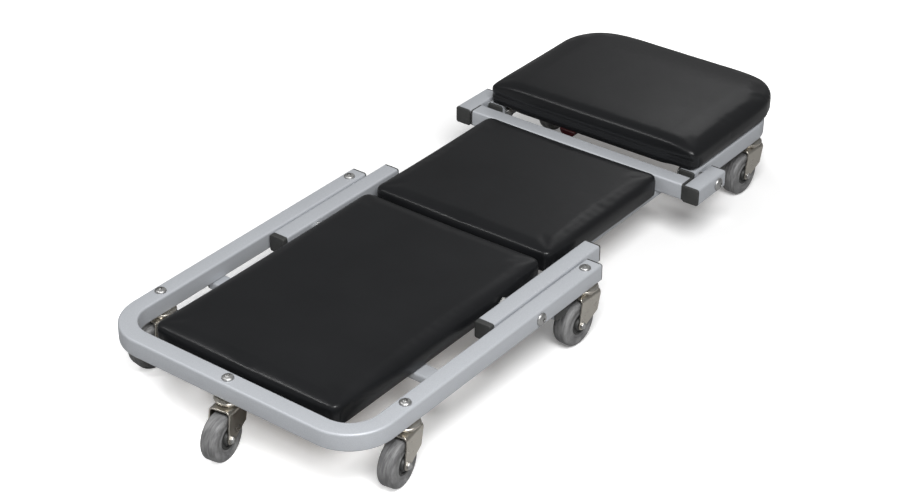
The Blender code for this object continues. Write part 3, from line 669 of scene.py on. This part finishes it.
def hinge_bolt(node, body, outer, inner, side):
    """A bolt through two tubes with its button head outside, a spacer between and a dome nut inside.

    The tubes' outer faces are given as distances from the creeper's middle."""
    spot = middle(node)
    out = move_to(0, spot.y, spot.z) @ Matrix.Rotation(side * math.pi / 2, 4, "Y")
    inside = inner - TUBE
    bm = bmesh.new()
    head = side * (high(node).x if side > 0 else low(node).x) - outer
    button_bolt(bm, outer, HINGE_SHANK, inside, out, SPACER_RADIUS, head)
    near = inner + HINGE_GAP
    far = outer - TUBE - HINGE_GAP
    ring = [(SPACER_BORE, near), (SPACER_RADIUS - SPACER_EDGE, near), (SPACER_RADIUS, near + SPACER_EDGE)]
    ring += [(SPACER_RADIUS, far - SPACER_EDGE), (SPACER_RADIUS - SPACER_EDGE, far), (SPACER_BORE, far)]
    spacer = bmesh.new()
    turned_ring(spacer, ring, SPACER_SEGMENTS, out)
    add_to(bm, spacer)
    tip = side * (low(node).x if side > 0 else high(node).x)
    seat = inside - HINGE_GAP
    dome = [(0, tip), (0.003, tip), (0.0052, tip + 0.0012), (0.0072, tip + 0.0022)]
    nut = bmesh.new()
    turned(nut, dome + [(NUT_RADIUS, tip + 0.0032), (NUT_RADIUS, seat), (0, seat)], HEX, out)
    add_to(bm, nut)
    piece(node + "_set", bm, body, ZINC, [node], HINGE_EDGE, 30)


for side, sign in SIDES:
    arm, lift, hinge, head = (high(f"right_{cap}_cap").x for cap in ("arm", "lift", "hinge", "head"))
    hinge_bolt(f"{side}_base_hinge_bolt", "base", arm, lift, sign)
    hinge_bolt(f"{side}_head_hinge_bolt", "middle", hinge, head, sign)


# Red pull grip

GRIP_LENGTH = 0.017
GRIP_EDGE = 0.0016
GRIP_GAP = 0.0006
BOW_STEPS = 24
TANG_WIDTH = 0.016
TANG_CORNER = 0.003
TANG_THICK = 0.004


def pull_grip():
    """A moulded finger grip with a bowed lower side, on a flat tang."""
    node = "pull_grip"
    size = high(node) - low(node)
    tall = size.z - GRIP_GAP
    bm = bmesh.new()
    grip = bmesh.new()
    bow = [math.pi * (1 + step / BOW_STEPS) for step in range(BOW_STEPS + 1)]
    grip.faces.new([grip.verts.new((size.x / 2 * math.cos(a), 0, tall * math.sin(a))) for a in bow])
    sweep(grip, grip.faces[:], [move_to(0, GRIP_LENGTH, 0)])
    edges = [edge for edge in grip.edges if abs(edge.verts[0].co.y - edge.verts[1].co.y) < 0.0001]
    bmesh.ops.bevel(grip, geom=edges, offset=GRIP_EDGE, segments=4, profile=0.5, affect="EDGES",
                    material=-1)
    front = low(node) + Vector((size.x / 2, 0, tall))
    bmesh.ops.translate(grip, vec=front, verts=grip.verts)
    add_to(bm, grip)
    tang = bmesh.new()
    tang_length = size.y - GRIP_LENGTH * 0.4
    rounded_face(tang, TANG_WIDTH, tang_length, TANG_CORNER, 4)
    sweep(tang, tang.faces[:], [move_to(0, 0, TANG_THICK)])
    back = Vector((middle(node).x, high(node).y - tang_length / 2, high(node).z - TANG_THICK))
    bmesh.ops.translate(tang, vec=back, verts=tang.verts)
    add_to(bm, tang)
    piece("red_pull_grip", bm, "head", RED, [node], angle=50)


pull_grip()


# Padded vinyl

VOXEL = 0.004
PILLOW_PRESSURE = 2.0
PILLOW_STEPS = 20
COVER_STIFFNESS = 80
COVER_BENDING = 8
SWELL_CAP = 0.002
HEM = 0.018
HEM_RISE = 0.003
TUCK = 0.004
PLEAT_ANGLES = (22, 45, 68)
PLEAT_WIDTH = 5.0
PLEAT_SETBACK = 0.01
FLAT_CORNER = 0.012
FLAT_PLEAT = 0.0016
HEAD_NEAR_CORNER = 0.009
HEAD_FAR_CORNER = 0.088
HEAD_PLEAT = 0.0012
HEAD_SAG = 0.003
HEAD_SAG_HALF = 0.15
# How far the head pad's top falls at an edge, and from how far in
FRONT_FALL, FRONT_REACH = 0.002, 0.05
SIDE_FALL, SIDE_REACH = 0.008, 0.05
BACK_FALL, BACK_REACH = 0.013, 0.09
# Creases between the swells of the head pad's front: depth, height and width
ROLL_DEPTH = 0.016
ROLL_CREASES = ((0.003, 0.0145, 0.0035), (0.0012, 0.006, 0.002))
FLAT_PAD = dict(near_corner=FLAT_CORNER, far_corner=FLAT_CORNER,
                crown=0.0035, roll=0.0065, inset=-0.0005)
HEAD_PAD = dict(near_corner=HEAD_NEAR_CORNER, far_corner=HEAD_FAR_CORNER,
                crown=0.002, roll=0.0055, inset=-0.002)


def pad_blank(node, near_corner, far_corner, crown, roll, inset):
    """The plain block that a pad's cover is worked from, with its corners and top edge rounded."""
    size = high(node) - low(node)
    spot = middle(node)
    bm = bmesh.new()
    bmesh.ops.create_grid(bm, x_segments=1, y_segments=1, size=0.5)
    bmesh.ops.scale(bm, vec=(size.x - 2 * inset, size.y - 2 * inset, 1), verts=bm.verts)
    for sign, radius in ((1, far_corner), (-1, near_corner)):
        corners = [vert for vert in bm.verts if vert.co.y * sign > size.y / 2 - inset - 0.001]
        bmesh.ops.bevel(bm, geom=corners, offset=radius, offset_type="OFFSET", segments=10, profile=0.5,
                        affect="VERTICES", material=-1)
    last = sweep(bm, bm.faces[:], [move_to(0, 0, size.z - crown)])
    rim = [edge for face in last for edge in face.edges]
    bmesh.ops.bevel(bm, geom=rim, offset=roll, segments=5, profile=0.5, affect="EDGES", material=-1)
    bmesh.ops.translate(bm, vec=(spot.x, spot.y, low(node).z), verts=bm.verts)
    bmesh.ops.recalc_face_normals(bm, faces=bm.faces)
    mesh = bpy.data.meshes.new("pad blank")
    bm.to_mesh(mesh)
    bm.free()
    blank = bpy.data.objects.new("pad blank", mesh)
    bpy.context.scene.collection.objects.link(blank)
    return blank


def live_mesh(thing):
    """A copy of an object's mesh with its modifiers worked in."""
    bpy.context.view_layer.update()
    return bpy.data.meshes.new_from_object(thing.evaluated_get(bpy.context.evaluated_depsgraph_get()))


def stuffed(blank, floor):
    """Remesh a pad's blank, swell it as cloth over a held underside, and return the mesh."""
    remesh = blank.modifiers.new("voxels", "REMESH")
    remesh.mode = "VOXEL"
    remesh.voxel_size = VOXEL
    mesh = live_mesh(blank)
    bpy.data.objects.remove(blank)
    cover = bpy.data.objects.new("cover", mesh)
    bpy.context.scene.collection.objects.link(cover)
    held = cover.vertex_groups.new(name="held")
    held.add([vert.index for vert in mesh.vertices if vert.co.z < floor + TUCK], 1.0, "REPLACE")
    rest = [vert.co.copy() for vert in mesh.vertices]
    cloth = cover.modifiers.new("swell", "CLOTH")
    cloth.settings.vertex_group_mass = "held"
    cloth.settings.use_pressure = True
    cloth.settings.uniform_pressure_force = PILLOW_PRESSURE
    cloth.settings.effector_weights.gravity = 0
    cloth.settings.tension_stiffness = COVER_STIFFNESS
    cloth.settings.compression_stiffness = COVER_STIFFNESS
    cloth.settings.shear_stiffness = COVER_STIFFNESS
    cloth.settings.bending_stiffness = COVER_BENDING
    cloth.point_cache.frame_end = PILLOW_STEPS
    for step in range(1, PILLOW_STEPS + 1):
        bpy.context.scene.frame_set(step)
    swollen = live_mesh(cover)
    bpy.data.objects.remove(cover)
    bpy.context.scene.frame_set(1)
    for vert, start in zip(swollen.vertices, rest):
        move = vert.co - start
        if move.length > SWELL_CAP:
            vert.co = start + move.normalized() * SWELL_CAP
    return swollen


def bare_board(node, co):
    """Lift the underside inside the cover's turned-in hem, so that the board shows there."""
    near = low(node)
    far = high(node)
    inside = min(co.x - near.x, far.x - co.x, co.y - near.y, far.y - co.y)
    if co.z < near.z + TUCK and inside > HEM:
        co.z = max(co.z, near.z + HEM_RISE * smooth_step((inside - HEM) / VOXEL))


def pad(node, body, name, form, blank):
    """A padded vinyl cover that stands for a cushion node, with a form worked over the swollen mesh."""
    mesh = stuffed(pad_blank(node, **blank), low(node).z)
    bm = bmesh.new()
    bm.from_mesh(mesh)
    bpy.data.meshes.remove(mesh)
    for vert in bm.verts:
        form(node, vert.co)
        bare_board(node, vert.co)
    bmesh.ops.smooth_vert(bm, verts=bm.verts, factor=0.5, use_axis_x=True, use_axis_y=True,
                          use_axis_z=True)
    cover = piece(name, bm, body, VINYL, [node], angle=180)
    fine = cover.modifiers.new("smooth", "SUBSURF")
    fine.levels = 1
    fine.render_levels = 1


def bell(value, width):
    return math.exp(-(value / width) ** 2)


def pleated(node, co, near_corner, far_corner, depth):
    """Fold small pleats into the cover where it is drawn round a corner to the underside."""
    spot = middle(node)
    half = (high(node) - low(node)) / 2
    radius = near_corner if co.y < spot.y else far_corner
    centre = Vector((spot.x + math.copysign(half.x - radius - PLEAT_SETBACK, co.x - spot.x),
                     spot.y + math.copysign(half.y - radius - PLEAT_SETBACK, co.y - spot.y), co.z))
    out = co - centre
    if (co.x - spot.x) * out.x < 0 or (co.y - spot.y) * out.y < 0 or out.length < radius * 0.5:
        return
    turn = math.degrees(math.atan2(abs(out.y), abs(out.x)))
    height = (co.z - low(node).z) / (high(node).z - low(node).z)
    fold = sum(bell(turn - at, PLEAT_WIDTH) for at in PLEAT_ANGLES)
    co -= out.normalized() * depth * fold * smooth_step((0.75 - height) / 0.5)


def flat_pad_form(node, co):
    """Pleat the corners and leave the rest plain."""
    pleated(node, co, FLAT_CORNER, FLAT_CORNER, FLAT_PLEAT)


def head_pad_form(node, co):
    """Round the back and sides over, crease the front, sag it between the tubes, and pleat."""
    floor = low(node).z
    thick = high(node).z - floor
    depth = co.y - low(node).y
    height = (co.z - floor) / thick
    upper = smooth_step(height / 0.7)
    fall = max(0.0, 1 - depth / FRONT_REACH)
    co.z -= FRONT_FALL * fall * fall * upper
    side = max(0.0, 1 - (high(node).x - abs(co.x)) / SIDE_REACH)
    back = max(0.0, 1 - (high(node).y - co.y) / BACK_REACH)
    co.z -= (SIDE_FALL * side * side + BACK_FALL * back * back) * upper
    front = smooth_step(1 - depth / ROLL_DEPTH)
    co.y += front * sum(deep * bell(co.z - floor - at, wide) for deep, at, wide in ROLL_CREASES)
    sag = HEAD_SAG * smooth_step((HEAD_SAG_HALF - abs(co.x)) / 0.03)
    co.z -= sag * smooth_step((0.03 - depth) / 0.02) * smooth_step((0.6 - height) / 0.5)
    pleated(node, co, HEAD_NEAR_CORNER, HEAD_FAR_CORNER, HEAD_PLEAT)


for part, body, form, blank in (("foot", "base", flat_pad_form, FLAT_PAD),
                                ("middle", "middle", flat_pad_form, FLAT_PAD),
                                ("head", "head", head_pad_form, HEAD_PAD)):
    pad(f"{part}_pad_cushion", body, f"{part}_pad_cover", form, blank)


# Pad screws and boards

SCREW_RADIUS = 0.0046
SCREW_HEIGHT = 0.0024
SCREW_SEAT = 0.0004
SCREW_SEGMENTS = 24
SCREW_SPREAD = 0.105
MIDDLE_SPREAD = 0.09


def pad_screws(body, bars, spread):
    """Pan-head screws up through the bars into a pad's board."""
    profile = [(0, -SCREW_HEIGHT * 0.4), (SCREW_RADIUS * 0.35, -SCREW_HEIGHT * 0.4),
               (SCREW_RADIUS * 0.35, -SCREW_HEIGHT), (SCREW_RADIUS * 0.7, -SCREW_HEIGHT),
               (SCREW_RADIUS * 0.93, -SCREW_HEIGHT * 0.7), (SCREW_RADIUS, -SCREW_HEIGHT * 0.3),
               (SCREW_RADIUS, SCREW_SEAT), (0, SCREW_SEAT)]
    bm = bmesh.new()
    for bar in bars:
        for _, side in SIDES:
            screw = bmesh.new()
            turned(screw, profile, SCREW_SEGMENTS, move_to(side * spread, middle(bar).y, low(bar).z))
            add_to(bm, screw)
    piece(f"{body}_pad_screws", bm, body, ZINC)


pad_screws("base", ("base_cross_member", "fold_stop_bar"), SCREW_SPREAD)
pad_screws("middle", ("middle_front_bar",), MIDDLE_SPREAD)
pad_screws("head", ("head_cross_bar",), SCREW_SPREAD)
for board in ("foot_pad_board", "middle_pad_board", "head_pad_board"):
    frame["nodes"][board].data.materials.clear()
    frame["nodes"][board].data.materials.append(PLYWOOD)


# Stage, light and camera

WORLD_LIGHT = 0.21
FLOOR_SIZE = 12
FLOOR_BOUNCE = (0.45, 0.45, 0.45)
FLOOR_SEEN = (0.96, 0.96, 0.96)
# Painted light: the floor's camera-only glow, weak near the creeper and strong further out
FLOOR_LIFT = 0.16
FLOOR_FAR_LIFT = 0.75
FLOOR_CENTRE = (0, 0.06, 0)
FLOOR_FADE_FROM = 0.46
FLOOR_FADE_TO = 0.6
CAMERA_SPOT = (1.3870, -1.869725, 1.46734)
CAMERA_DOWN = 31.48
CAMERA_ROUND = 37.46
CAMERA_LENS = 79
CAMERA_SENSOR = 36


def stage_floor():
    """A pale floor that takes the shadow and is clear from below; the camera sees it paler than the grey it
    bounces. For camera rays it also glows as painted light, faintly near the creeper and strongly further
    out, fading the shadow to white away from it.
    """
    bm = bmesh.new()
    bmesh.ops.create_grid(bm, x_segments=1, y_segments=1, size=FLOOR_SIZE)
    mesh = bpy.data.meshes.new("studio_floor")
    bm.to_mesh(mesh)
    bm.free()
    floor = bpy.data.objects.new("studio_floor", mesh)
    bpy.context.scene.collection.objects.link(floor)
    material = bpy.data.materials.new("studio_floor")
    material.use_nodes = True
    tree = material.node_tree
    shader = tree.nodes["Principled BSDF"]
    shader.inputs["Roughness"].default_value = 0.9
    shader.inputs["Specular IOR Level"].default_value = 0.0
    shader.inputs["Emission Color"].default_value = (1, 1, 1, 1)
    path = tree.nodes.new("ShaderNodeLightPath")
    shade = mix_colour(tree, path.outputs["Is Camera Ray"], FLOOR_BOUNCE, FLOOR_SEEN)
    tree.links.new(shade, shader.inputs["Base Color"])
    place = tree.nodes.new("ShaderNodeTexCoord").outputs["Object"]
    distance = tree.nodes.new("ShaderNodeVectorMath")
    distance.operation = "DISTANCE"
    distance.inputs[1].default_value = FLOOR_CENTRE
    tree.links.new(place, distance.inputs[0])
    # Painted light: the floor's glow for the camera rises with distance from the creeper, fading its shadow
    # to white.
    lift = tree.nodes.new("ShaderNodeMapRange")
    lift.interpolation_type = "SMOOTHSTEP"
    lift.inputs["From Min"].default_value = FLOOR_FADE_FROM
    lift.inputs["From Max"].default_value = FLOOR_FADE_TO
    lift.inputs["To Min"].default_value = FLOOR_LIFT
    lift.inputs["To Max"].default_value = FLOOR_FAR_LIFT
    tree.links.new(distance.outputs["Value"], lift.inputs["Value"])
    seen = tree.nodes.new("ShaderNodeMath")
    seen.operation = "MULTIPLY"
    tree.links.new(path.outputs["Is Camera Ray"], seen.inputs[0])
    tree.links.new(lift.outputs["Result"], seen.inputs[1])
    tree.links.new(seen.outputs["Value"], shader.inputs["Emission Strength"])
    under = tree.nodes.new("ShaderNodeNewGeometry").outputs["Backfacing"]
    clear = tree.nodes.new("ShaderNodeBsdfTransparent").outputs["BSDF"]
    sides = tree.nodes.new("ShaderNodeMixShader")
    tree.links.new(under, sides.inputs["Fac"])
    tree.links.new(shader.outputs["BSDF"], sides.inputs[1])
    tree.links.new(clear, sides.inputs[2])
    tree.links.new(sides.outputs["Shader"], tree.nodes["Material Output"].inputs["Surface"])
    mesh.materials.append(material)


def soft_light(name, spot, target, size, power):
    data = bpy.data.lights.new(name, "AREA")
    data.shape = "DISK"
    data.size = size
    data.energy = power
    lamp = bpy.data.objects.new(name, data)
    lamp.location = spot
    lamp.rotation_euler = (Vector(target) - Vector(spot)).to_track_quat("-Z", "Y").to_euler()
    bpy.context.scene.collection.objects.link(lamp)


def camera():
    data = bpy.data.cameras.new("camera")
    data.sensor_width = CAMERA_SENSOR
    data.lens = CAMERA_LENS
    data.clip_end = 50
    eye = bpy.data.objects.new("camera", data)
    eye.location = CAMERA_SPOT
    eye.rotation_euler = (math.radians(90 - CAMERA_DOWN), 0, math.radians(CAMERA_ROUND))
    bpy.context.scene.collection.objects.link(eye)
    bpy.context.scene.camera = eye


def white_world():
    """White behind the creeper, and a dim even light on it."""
    world = bpy.data.worlds.new("studio")
    world.use_nodes = True
    tree = world.node_tree
    background = tree.nodes["Background"]
    background.inputs["Color"].default_value = (1, 1, 1, 1)
    seen = tree.nodes.new("ShaderNodeMapRange")
    seen.inputs["To Min"].default_value = WORLD_LIGHT
    seen.inputs["To Max"].default_value = 1.0
    path = tree.nodes.new("ShaderNodeLightPath")
    tree.links.new(path.outputs["Is Camera Ray"], seen.inputs["Value"])
    tree.links.new(seen.outputs["Result"], background.inputs["Strength"])
    bpy.context.scene.world = world


stage_floor()
soft_light("right softbox", (1.2, -1.1, 2.1), (0, 0, 0), 1.3, 70)
soft_light("left softbox", (-1.1, -1.1, 2.0), (0, 0, 0), 0.45, 11)
soft_light("back softbox", (-0.6, 2.1, 1.45), (0, 0, 0.1), 1.0, 3)
camera()
white_world()
bpy.context.scene.view_settings.view_transform = "Standard"
